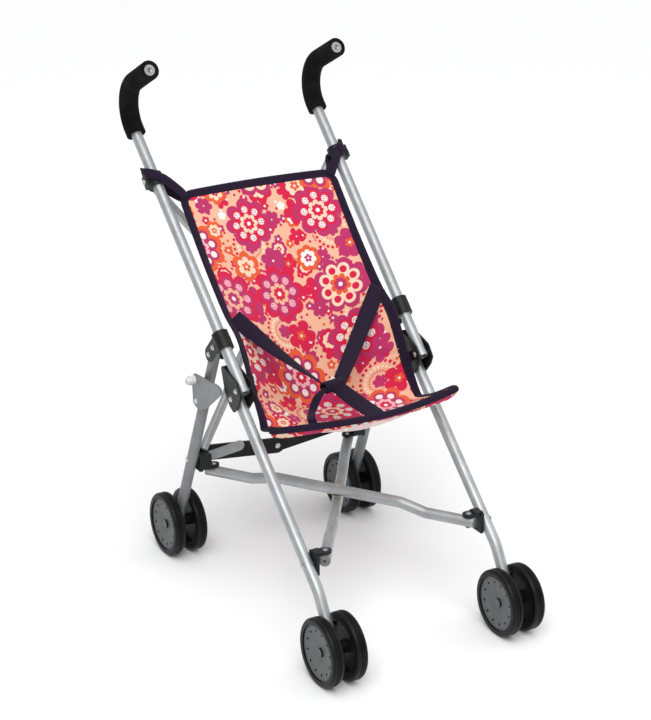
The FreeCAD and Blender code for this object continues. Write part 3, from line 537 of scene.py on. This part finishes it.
def sleeve(ring, rings, first=0, closed=False):
    """Faces of a tube of `rings` rings of points, with flat ends or joined to its own start."""
    faces = []
    for i in range(rings if closed else rings - 1):
        here, there = first + i * ring, first + (i + 1) % rings * ring
        for k in range(ring):
            m = (k + 1) % ring
            faces.append((here + k, here + m, there + m, there + k))
    if not closed:
        faces.append(tuple(first + k for k in range(ring))[::-1])
        faces.append(tuple(first + (rings - 1) * ring + k for k in range(ring)))
    return faces


# Outline of a tape's section, in shares of its width and of its thickness.
TAPE_SECTION = [(-0.5, 0.25), (-0.46, 0.5), (0.0, 0.56), (0.46, 0.5), (0.5, 0.25),
                (0.5, -0.25), (0.46, -0.5), (0.0, -0.56), (-0.46, -0.5), (-0.5, -0.25)]


def ribbon(name, centres, across, width, thick, look, uv_shift=0.0, closed=False):
    """Tape along a line. `across` is the way of its width, one for all its points or one for each."""
    centres = np.asarray(centres, float)
    count = len(centres)
    width = np.broadcast_to(np.asarray(width, float), (count,))
    if closed:
        way = unit(np.roll(centres, -1, axis=0) - np.roll(centres, 1, axis=0))
    else:
        way = unit(np.gradient(centres, axis=0))
    across = np.broadcast_to(unit(across), centres.shape)
    across = unit(across - way * np.sum(across * way, axis=1, keepdims=True))
    out = np.cross(way, across)
    reach = distance_along(centres)
    points, uv = [], []
    for i in range(count):
        for a, b in TAPE_SECTION:
            points.append(centres[i] + across[i] * a * width[i] + out[i] * b * thick)
            uv.append(((a * width[i] + uv_shift) * MM, reach[i] * MM))
    return mesh_from(name, points, sleeve(len(TAPE_SECTION), count, closed=closed), [look], uv)


def lathe(name, centre, axis, profile, look):
    """A closed turned piece: profile is (radius, height) along the axis, first and last on the axis."""
    steps = 36
    axis = unit(axis)
    first = unit(np.cross(axis, [1.0, 0.3, 0.2]))
    second = np.cross(axis, first)
    points = [centre + axis * profile[0][1]]
    for radius, lift in profile[1:-1]:
        for angle in np.arange(steps) * 2 * math.pi / steps:
            round_it = first * math.cos(angle) + second * math.sin(angle)
            points.append(centre + axis * lift + round_it * radius)
    points.append(centre + axis * profile[-1][1])
    rings = len(profile) - 2
    faces = []
    for k in range(steps):
        m = (k + 1) % steps
        faces.append((0, 1 + k, 1 + m))
        for ring in range(rings - 1):
            here = 1 + ring * steps
            faces.append((here + k, here + steps + k, here + steps + m, here + m))
        last = 1 + (rings - 1) * steps
        faces.append((last + k, len(points) - 1, last + m))
    return mesh_from(name, points, faces, [look])


# ---------------------------------------------------------------- seat sling

HANDLE_ANGLE = math.radians(42.5)
HANDLE_SPLAY = math.tan(math.radians(0.8))
HANDLE_FOOT = (109.0, 184.0, 246.5)
ALONG_HANDLE = unit([0.0, math.cos(HANDLE_ANGLE), math.sin(HANDLE_ANGLE)])
BEHIND_HANDLE = np.array([0.0, math.sin(HANDLE_ANGLE), -math.cos(HANDLE_ANGLE)])


def on_handle(side, up, behind=0.0, outward=0.0):
    """A point beside a handle tube, `up` from its lower end."""
    x, y, z = HANDLE_FOOT
    way = unit(ALONG_HANDLE + np.array([side * HANDLE_SPLAY, 0, 0]))
    return station(side * x, y, z) + way * up + BEHIND_HANDLE * behind + np.array([side * outward, 0, 0])


# Half the cloth's width, the radius of its top corners and of its binding's front ones, its thickness.
SEAT_HALF = 96.5
CORNER = 15.0
FRONT_CORNER = 3.0
CLOTH = 0.9
# The cloth seen from the side, from its top edge to its front edge, as (y from the front axle, z):
# one line for the side edges and one for the middle, which hangs between them.
EDGE_LINE = [(358, 415), (350, 405), (300, 353), (254, 311), (222, 290), (195, 249), (171, 214), (163, 211),
             (140, 222), (116, 236.5), (108, 240.8), (103, 241.6), (99.5, 238.6)]
MIDDLE_LINE = [(359, 417), (349, 402.5), (303, 336), (262, 277), (236, 239), (216, 211), (203, 202.5),
               (180, 203.5), (140, 205), (118, 210), (109, 218), (105, 226),
               (102.5, 231), (98.7, 231.5), (95.5, 228.3)]
ROWS = 150
COLUMNS = 72
# The sag across the cloth, as a power: 2 would be a parabola.
HANG = 1.9
# From this share of its length on, the cloth widens towards the front edge by the flare.
FRONT_FROM = 0.75
FLARE = 0.045
# The left front corner hangs limp: how far back and down it lies from the right one's place, and how
# steeply that grows along the cloth and across it.
CORNER_BACK = 46.0
CORNER_DROP = 25.0
LIMP_ALONG = 1.5
LIMP_ACROSS = 1.6
# The creases that the leg tabs pull: the share of the cloth's length where they start, their height, how
# many there would be in a full turn, how far they reach, and how far from the tab they are fully raised.
PULL_FROM = 0.64
PULL_HEIGHT = 1.5
PULL_WAVES = 9.0
PULL_REACH = 42.0
PULL_CLEAR = 12.0
# Wrinkles fade out over this distance from the edge.
EDGE_FADE = 14.0
edge_line = smooth_line(EDGE_LINE, ROWS)
middle_line = smooth_line(MIDDLE_LINE, ROWS)
SEAT_LENGTH = float(distance_along(edge_line)[-1])


def wrinkle(a, b):
    """Small unevenness of the stretched cloth, in mm, at flat coordinates."""
    broad = 0.5 * np.sin(a * 0.045 + 1.0) * np.sin(b * 0.03 + 0.4)
    out = broad + 0.25 * np.sin(a * 0.11 + b * 0.07 + 2.0)
    for side in (-1, 1):
        near_x = a - side * SEAT_HALF
        near_y = b - PULL_FROM * SEAT_LENGTH
        far = np.hypot(near_x, near_y)
        angle = np.arctan2(near_y, -side * near_x)
        faded = np.exp(-(far / PULL_REACH) ** 2) * np.clip(far / PULL_CLEAR, 0, 1)
        out += PULL_HEIGHT * np.cos(angle * PULL_WAVES) * faded
    inside = np.minimum(np.minimum(SEAT_HALF - np.abs(a), SEAT_LENGTH - b), b)
    return out * np.clip(inside / EDGE_FADE, 0, 1)


def seat_point(a, b):
    """Where the flat cloth's point (a across, b down from the top edge, in mm) is in space."""
    a = np.asarray(a, float)
    b = np.asarray(b, float)
    row = np.clip(b / SEAT_LENGTH, 0, 1) * (ROWS - 1)
    steps = np.arange(ROWS)
    # The border of the binding lies a little beyond the cloth's edge, so the share may pass 1.
    hang = 1 - np.clip(np.abs(a) / SEAT_HALF, 0, 1.05) ** HANG
    pos = []
    for k in range(2):
        edge = np.interp(row, steps, edge_line[:, k])
        middle = np.interp(row, steps, middle_line[:, k])
        pos.append(edge + (middle - edge) * hang)
    near_front = np.clip((b / SEAT_LENGTH - FRONT_FROM) / (1 - FRONT_FROM), 0, 1)
    limp = near_front ** LIMP_ALONG * np.clip(-a / SEAT_HALF, 0, 1) ** LIMP_ACROSS
    return np.stack([a * (1 + FLARE * near_front),
                     FRONT_AXLE_Y + pos[0] + CORNER_BACK * limp,
                     pos[1] - CORNER_DROP * limp], axis=-1)


def seat_frame(a, b):
    """The cloth's point, its two ways and its upward normal at flat coordinates."""
    step = 1.0
    across = unit(seat_point(a + step, b) - seat_point(a - step, b))
    down = unit(seat_point(a, b + step) - seat_point(a, b - step))
    normal = unit(np.cross(down, across))
    return seat_point(a, b) + normal * wrinkle(np.asarray(a), np.asarray(b))[..., None], across, down, normal


def half_width(b):
    """Half the cloth's width at a distance below its top edge, with rounded top corners."""
    near = np.clip(CORNER - b, 0, CORNER)
    return SEAT_HALF - CORNER + np.sqrt(CORNER ** 2 - near ** 2)


def build_seat():
    """The printed cloth: its upper face and rim in the print, its under face in the reverse."""
    round_top = CORNER * (1 - np.cos(np.linspace(0, math.pi / 2, 9)))[:-1]
    b = np.concatenate([round_top, np.linspace(CORNER, SEAT_LENGTH, ROWS)])
    u = np.linspace(-1, 1, COLUMNS + 1)
    across = u[None, :] * half_width(b)[:, None]
    down = np.repeat(b[:, None], len(u), axis=1)
    place, _, _, normal = seat_frame(across, down)
    rows, columns = across.shape
    top = (place + normal * CLOTH / 2).reshape(-1, 3)
    under = (place - normal * CLOTH / 2).reshape(-1, 3)
    uv = np.stack([across, down], axis=-1).reshape(-1, 2) * MM
    size = rows * columns
    faces, looks = [], []
    for i in range(rows - 1):
        for j in range(columns - 1):
            a = i * columns + j
            quad = (a, a + columns, a + columns + 1, a + 1)
            faces += [quad, tuple(size + k for k in quad[::-1])]
            looks += [0, 1]
    rim = [(i, 0) for i in range(rows)] + [(rows - 1, j) for j in range(1, columns)]
    rim += [(i, columns - 1) for i in range(rows - 2, -1, -1)] + [(0, j) for j in range(columns - 2, 0, -1)]
    ids = [i * columns + j for i, j in rim]
    for a, c in zip(ids, ids[1:] + ids[:1]):
        faces.append((a, size + a, size + c, c))
        looks.append(0)
    points = np.vstack([top, under])
    return mesh_from("seat_cloth", points, faces, [COTTON, REVERSE], np.vstack([uv, uv]), looks)


def border():
    """Flat points round the cloth's edge, with the way inwards at each."""
    points, inward = [], []

    def run(start, end, way, count):
        for t in np.linspace(0, 1, count, endpoint=False):
            points.append(np.array(start) * (1 - t) + np.array(end) * t)
            inward.append(way)

    def turn(centre, radius, first, last, count):
        for angle in np.linspace(first, last, count, endpoint=False):
            way = np.array([math.cos(angle), math.sin(angle)])
            points.append(np.array(centre) + way * radius)
            inward.append(-way)

    flat_x = SEAT_HALF - CORNER
    low_x, low_y = SEAT_HALF - FRONT_CORNER, SEAT_LENGTH - FRONT_CORNER
    run((-flat_x, 0), (flat_x, 0), (0, 1), 40)
    turn((flat_x, CORNER), CORNER, -math.pi / 2, 0, 12)
    run((SEAT_HALF, CORNER), (SEAT_HALF, low_y), (-1, 0), 120)
    turn((low_x, low_y), FRONT_CORNER, 0, math.pi / 2, 5)
    run((low_x, SEAT_LENGTH), (-low_x, SEAT_LENGTH), (0, -1), 60)
    turn((-low_x, low_y), FRONT_CORNER, math.pi / 2, math.pi, 5)
    run((-SEAT_HALF, low_y), (-SEAT_HALF, CORNER), (1, 0), 120)
    turn((-flat_x, CORNER), CORNER, math.pi, 1.5 * math.pi, 12)
    return np.array(points), np.array(inward, float)


BINDING = 8.0
# Outline of the binding's section: the share of its width inwards from the edge, and the height in mm.
BINDING_SECTION = [(1.0, 0.62), (0.75, 1.15), (0.4, 1.25), (0.05, 1.15), (-0.1, 0.5),
                   (-0.1, -0.5), (0.05, -1.15), (0.4, -1.25), (0.75, -1.15), (1.0, -0.62)]


def build_binding():
    """The navy tape folded over the cloth's edge all round."""
    flat, inward = border()
    place, across, down, normal = seat_frame(flat[:, 0], flat[:, 1])
    reach = distance_along(flat)
    points, uv = [], []
    for i in range(len(flat)):
        for share, lift in BINDING_SECTION:
            if share < 0:
                out = -(across[i] * inward[i][0] + down[i] * inward[i][1])
                base = place[i] + out * (-share * BINDING)
                up = normal[i]
            else:
                at = flat[i] + inward[i] * share * BINDING
                base, _, _, up = seat_frame(at[0], at[1])
            points.append(base + up * lift)
            uv.append((share * BINDING * MM, reach[i] * MM))
    return mesh_from("seat_binding", points, sleeve(len(BINDING_SECTION), len(flat), closed=True), [NAVY], uv)


def build_stitches(name, line, out, step, length, radius):
    """A row of short raised stitches along a line, each a small bar with six sides, pinched at its ends."""
    reach = distance_along(line)
    sides = 6
    points, faces = [], []
    for start in np.arange(step / 2, reach[-1] - length, step):
        ends = []
        for at in (start, start + length / 2, start + length):
            ends.append([np.array([np.interp(at, reach, values[:, k]) for k in range(3)])
                         for values in (line, out)])
        way = unit(ends[2][0] - ends[0][0])
        faces += sleeve(sides, 3, first=len(points))
        for (centre, up), lift, thick in zip(ends, (0.0, radius, 0.0), (0.6, 1.0, 0.6)):
            side = unit(np.cross(way, up))
            for angle in np.arange(sides) * 2 * math.pi / sides:
                round_it = side * math.cos(angle) + up * math.sin(angle)
                points.append(centre + up * lift + round_it * radius * thick)
    return mesh_from(name, points, faces, [THREAD])


SEAM = 0.82


def build_seam():
    """The stitches that hold the binding, at a share of its width from the edge."""
    flat, inward = border()
    seam = flat + inward * BINDING * SEAM
    place, _, _, up = seat_frame(seam[:, 0], seam[:, 1])
    up = np.vstack([up, up[:1]])
    line = np.vstack([place, place[:1]]) + up
    return build_stitches("seat_stitches", line, up, step=3.4, length=2.2, radius=0.2)


HEM_POINTS = 80
HEM_WAY = unit([0.0, 0.34, -0.94])
HEM_THICK = 1.1


def build_hem():
    """The strip of cloth that hangs below the front edge, deeper towards the corners."""
    at = np.linspace(-SEAT_HALF + 2.0, SEAT_HALF - 2.0, HEM_POINTS)
    drop = 4.0 + 5.5 * np.abs(at / SEAT_HALF) ** 1.5
    drop *= np.clip((SEAT_HALF - np.abs(at)) / 12.0, 0.1, 1.0) ** 0.5
    top = seat_point(at, np.full(HEM_POINTS, SEAT_LENGTH)) + [0, 1.0, 0.6]
    line = top + HEM_WAY * drop[:, None] / 2
    return ribbon("seat_hem", line, HEM_WAY, drop, HEM_THICK, COTTON, uv_shift=34.0)


TAB_AT = 0.66
TAB_END_X = 102.4


def build_leg_tab(side_name, side):
    """The navy loop from the cloth's edge to the front leg beside it."""
    edge = seat_point(side * (SEAT_HALF - 2.0), TAB_AT * SEAT_LENGTH)
    leg = np.array([side * TAB_END_X, edge[1] + 1.0, edge[2] - 1.5])
    line = smooth_line([edge + [0, 0, 1.5], (edge + leg) / 2 + [side * 1.0, 0, 0.5], leg], 8)
    return ribbon(f"{side_name}_leg_tab", line, [0, -0.74, -0.66], width=11.0, thick=1.4, look=NAVY)


seat = build_seat()
binding = build_binding()
stitches = build_seam()
hem = build_hem()
tabs = [build_leg_tab(side_name, side) for side_name, side in SIDES]

# ---------------------------------------------------------------- harness

BUCKLE = station(-15.0, 164.0, 243.0)
HARNESS_WIDTH = 18.5
HARNESS_THICK = 1.5
# For each shoulder strap: how far up the handle tube and how far from the middle it starts, how many
# degrees it turns on itself, and its width at the joint.
SHOULDER_STRAPS = {"left": (88.0, 87.0, -64.0, 10.0), "right": (92.0, 92.0, -22.0, 17.0)}


def shoulder_strap(side_name, side):
    """From the seat's side edge to the joint at the middle, turning on itself on the way."""
    up, across_from, twist_end, end_width = SHOULDER_STRAPS[side_name]
    anchor = on_handle(side, up, -0.5)
    anchor[0] = side * across_from
    end = BUCKLE + np.array([side * 9.0, 2.0, 2.5])
    t = np.linspace(0, 1, 44)[:, None]
    sag = np.sin(t * math.pi) * np.array([0, 1.0, -3.0])
    line = anchor * (1 - t) + end * t + sag
    way = unit(end - anchor)
    edge_way = unit(ALONG_HANDLE - way * np.dot(ALONG_HANDLE, way))
    out = np.cross(way, edge_way)
    angle = np.radians(twist_end) * np.clip((t - 0.12) / 0.88, 0, 1) ** 1.2
    across = edge_way * np.cos(angle) + out * np.sin(angle)
    width = HARNESS_WIDTH + (end_width - HARNESS_WIDTH) * t[:, 0] ** 2
    return ribbon(f"{side_name}_shoulder_strap", line, across, width, HARNESS_THICK, NAVY)


def crotch_strap():
    """From the joint down to the seat near its front edge, getting wider."""
    foot = seat_point(3.0, SEAT_LENGTH - 12.0) + [0, 1.0, 1.6]
    line = smooth_line([BUCKLE + [2, 4, 3.0], BUCKLE + [3, -6, 0.5], (BUCKLE + foot) / 2 + [2, 0, -1.0],
                        foot + [-1, 6, 1.0], foot], 40)
    t = np.linspace(0, 1, 40)[:, None]
    across = np.array([1.0, 0, 0]) * (1 - 0.25 * t) + np.array([0, -0.3, 0.25]) * (1 - t)
    return ribbon("crotch_strap", line, across, 15.0 + 7.0 * t[:, 0], HARNESS_THICK, NAVY)


def loose_strap():
    """The narrow strap that sags from the joint to the limp front corner."""
    foot = seat_point(-58.0, SEAT_LENGTH - 13.0) + [0, 1.0, 1.2]
    line = smooth_line([BUCKLE + [-8, -3, 1.0], BUCKLE + [-21, -6, -5.0], BUCKLE + [-32, -13, -17.0],
                        foot + [-1, 4, 6.0], foot], 30)
    return ribbon("loose_strap", line, [0.75, -0.5, 0.3], width=9.0, thick=1.3, look=NAVY)


def harness_joint():
    """A turn of webbing wrapped round the straps."""
    line = []
    for angle in np.linspace(0, 2 * math.pi, 36, endpoint=False):
        bulge = 1 + 0.08 * math.cos(3 * angle + 0.7)
        line.append(BUCKLE + [0, 7.2 * bulge * math.cos(angle), 5.0 * bulge * math.sin(angle) + 1.5])
    return ribbon("harness_joint", line, [1.0, 0.12, 0.05], width=24.0, thick=1.8, look=NAVY, closed=True)


straps = [shoulder_strap(side_name, side) for side_name, side in SIDES]
straps += [crotch_strap(), loose_strap(), harness_joint()]

# ---------------------------------------------------------------- tie straps at the top corners

# For each strip: how far up the tube its turn starts and ends, how far out it lies, how wide it is, and
# the turn's first and last angle, counted from the tube's outer side.
TIE_SHAPES = {"front": (280.0, 262.0, 10.6, 11.0, -25, 108), "back": (263.5, 263.5, 10.1, 12.5, 32, 138)}
TIE_THICK = 1.2
TIE_END_WIDTH = 10.0
TIE_POINTS = 40


def tie_strip(side_name, side, place, way):
    """One strip, in front of the tube or behind it, from the turn round it to the seat's corner.

    Gives the strip and its row of stitches.
    """
    start_up, end_up, reach, wide, first, last = TIE_SHAPES[place]
    wrap = []
    for t in np.linspace(0, 1, 10):
        angle = math.radians(first + (last - first) * t)
        up = start_up + (end_up - start_up) * t
        wrap.append(on_handle(side, up, way * reach * math.sin(angle), reach * math.cos(angle)))
    end = seat_point(side * (SEAT_HALF - 7.0), 7.0) + BEHIND_HANDLE * way * 1.9
    near = end * 0.75 + wrap[-1] * 0.25 + BEHIND_HANDLE * way * 1.2
    middle = (wrap[-1] + near) / 2 + BEHIND_HANDLE * way * 0.8
    line = smooth_line(wrap + [middle, near, end], TIE_POINTS)
    edge_way = ALONG_HANDLE + np.linspace(0, 1, TIE_POINTS)[:, None] ** 2 * np.array([0, -0.1, 0.3])
    name = f"{side_name}_tie_{place}"
    width = np.linspace(wide, TIE_END_WIDTH, TIE_POINTS)
    strip = ribbon(name, line, edge_way, width, TIE_THICK, NAVY)
    out = unit(np.cross(np.gradient(line, axis=0), edge_way)) * way * side
    seam = line + unit(edge_way) * 4.4 + out * 0.7
    sewn = slice(12, 36)
    stitched = build_stitches(f"{name}_stitches", seam[sewn], out[sewn], step=3.2, length=2.0, radius=0.22)
    return [strip, stitched]


ties = {side_name: tie_strip(side_name, side, "front", -1) + tie_strip(side_name, side, "back", 1)
        for side_name, side in SIDES}

# ---------------------------------------------------------------- lock bar rivet and handle plugs

# The rivet's head lies on the front bar, its pin goes through both bars' holes and its tail lies on the
# rear bar. A plug closes each grip at its end. A profile is (radius, height) in mm.
BAR_RIVET = station(0.0, 313.6, 114.6)
BAR_RIVET_PROFILE = [(0, 1.5), (0.9, 1.4), (1.2, 1.75), (2.2, 1.5), (3.1, 0.9), (3.5, 0.2), (3.5, 0.0),
                     (1.6, 0.0), (1.6, -6.4), (3.1, -6.4), (2.5, -7.3), (0, -7.6)]
GRIP_TIP = (114.321, 177.2, 545.6)
GRIP_WAY = (0, -0.887, 0.4617)
PLUG_PROFILE = [(0, 0.35), (2.0, 0.35), (2.5, 0.9), (4.6, 1.0), (5.7, 0.75), (6.1, 0.2), (6.1, -0.6),
                (0, -0.6)]
rivet = lathe("lock_bar_rivet", BAR_RIVET, (0, -1, 0), BAR_RIVET_PROFILE, RIVET)
plugs = {side_name: lathe(f"{side_name}_grip_plug", np.array([side * GRIP_TIP[0], *GRIP_TIP[1:]]), GRIP_WAY,
                          PLUG_PROFILE, PLUG) for side_name, side in SIDES}

# ---------------------------------------------------------------- riding and replacing


for piece in [seat, binding, stitches, hem] + tabs + straps:
    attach(piece, "seat")
    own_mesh(piece)
for side_name, made in ties.items():
    for piece in made:
        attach(piece, f"{side_name}_frame")
    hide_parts(f"{side_name}_tie_strap")
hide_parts("seat_sling")
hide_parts("harness")
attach(rivet, "left_lock_bar")
for side_name, plug in plugs.items():
    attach(plug, f"{side_name}_frame")

# ---------------------------------------------------------------- floor, light and camera

FLOOR_HALF = 20.0
FLOOR_WHITE = (0.90, 0.90, 0.90)
FLOOR_UNEVEN = 0.985
SKY_LOW = (0.66, 0.67, 0.68)
SKY_HIGH = (1.0, 1.0, 1.0)
SKY_HIGH_FROM = 0.75
SKY_STRENGTH = 0.72
SUN_STRENGTH = 1.55
SUN_SIZE = math.radians(50.0)
SUN_TILT = (math.radians(24.0), math.radians(-14.0), 0.0)


def link_object(name, data):
    made = bpy.data.objects.new(name, data)
    bpy.context.scene.collection.objects.link(made)
    return made


def floor_look():
    look = Look("pale_floor", Roughness=0.7)
    uneven = look.noise(look.object_coords(), 1.2, 2.0)
    look.set("Base Color", look.mix(uneven, FLOOR_WHITE, tuple(c * FLOOR_UNEVEN for c in FLOOR_WHITE)))
    return look


def build_floor():
    corners = [(x * FLOOR_HALF, y * FLOOR_HALF, 0) for x, y in ((-1, -1), (1, -1), (1, 1), (-1, 1))]
    data = bpy.data.meshes.new("floor")
    data.from_pydata(corners, [], [(0, 1, 2, 3)])
    data.materials.append(floor_look().mat)
    made = link_object("floor", data)
    made.location.z = min(cad_box[0].z, 0.0)
    return made


def light_sky():
    """A dome that gets brighter with height."""
    world = bpy.data.worlds.new("studio")
    bpy.context.scene.world = world
    world.use_nodes = True
    sky = world.node_tree
    direction = sky.nodes.new("ShaderNodeTexCoord")
    height = sky.nodes.new("ShaderNodeSeparateXYZ")
    sky.links.new(direction.outputs["Generated"], height.inputs[0])
    dome = sky.nodes.new("ShaderNodeValToRGB")
    sky.links.new(height.outputs[2], dome.inputs[0])
    for element, at, colour in zip(dome.color_ramp.elements, (0.0, SKY_HIGH_FROM), (SKY_LOW, SKY_HIGH)):
        element.position = at
        element.color = (*colour, 1.0)
    sky.links.new(dome.outputs[0], sky.nodes["Background"].inputs[0])
    sky.nodes["Background"].inputs[1].default_value = SKY_STRENGTH


def light_sun():
    data = bpy.data.lights.new("sun", "SUN")
    data.energy = SUN_STRENGTH
    data.angle = SUN_SIZE
    link_object("sun", data).rotation_euler = SUN_TILT


def softbox(name, place, target, width, height, power):
    data = bpy.data.lights.new(name, "AREA")
    data.shape = "RECTANGLE"
    data.size = width
    data.size_y = height
    data.energy = power
    light = link_object(name, data)
    light.location = place
    light.rotation_mode = "QUATERNION"
    light.rotation_quaternion = (Vector(target) - Vector(place)).to_track_quat("-Z", "Y")


AZIMUTH = math.radians(-29.87)
ELEVATION = math.radians(21.34)
ROLL = math.radians(0.28)
CAMERA = (-1.0170, -1.77273, 1.0534)
FOCAL_PIXELS = 2055.46
LONG_SIDE = 720.0
SENSOR = 36.0
FAR_CLIP = 50.0


def place_camera():
    """The photograph's camera. Its focal length is in pixels of a picture with the given long side."""
    back = Vector((math.sin(AZIMUTH) * math.cos(ELEVATION), -math.cos(AZIMUTH) * math.cos(ELEVATION),
                   math.sin(ELEVATION)))
    level = (-back).cross(Vector((0, 0, 1))).normalized()
    upright = level.cross(-back)
    right = level * math.cos(ROLL) + upright * math.sin(ROLL)
    up = upright * math.cos(ROLL) - level * math.sin(ROLL)
    data = bpy.data.cameras.new("camera")
    data.sensor_width = SENSOR
    data.sensor_fit = "AUTO"
    data.lens = FOCAL_PIXELS / LONG_SIDE * SENSOR
    data.dof.use_dof = False
    data.clip_end = FAR_CLIP
    camera = link_object("camera", data)
    turn = Matrix((right, up, back)).transposed().to_4x4()
    camera.matrix_world = Matrix.Translation(CAMERA) @ turn
    bpy.context.scene.camera = camera


floor = build_floor()
light_sky()
light_sun()
softbox("key", (-1.3, -1.7, 1.9), (0, 0, 0.25), width=1.0, height=1.0, power=14.0)
softbox("side", (1.7, -0.6, 1.0), (0, 0, 0.3), width=0.5, height=1.6, power=5.0)
place_camera()
bpy.context.scene.view_settings.view_transform = "Standard"
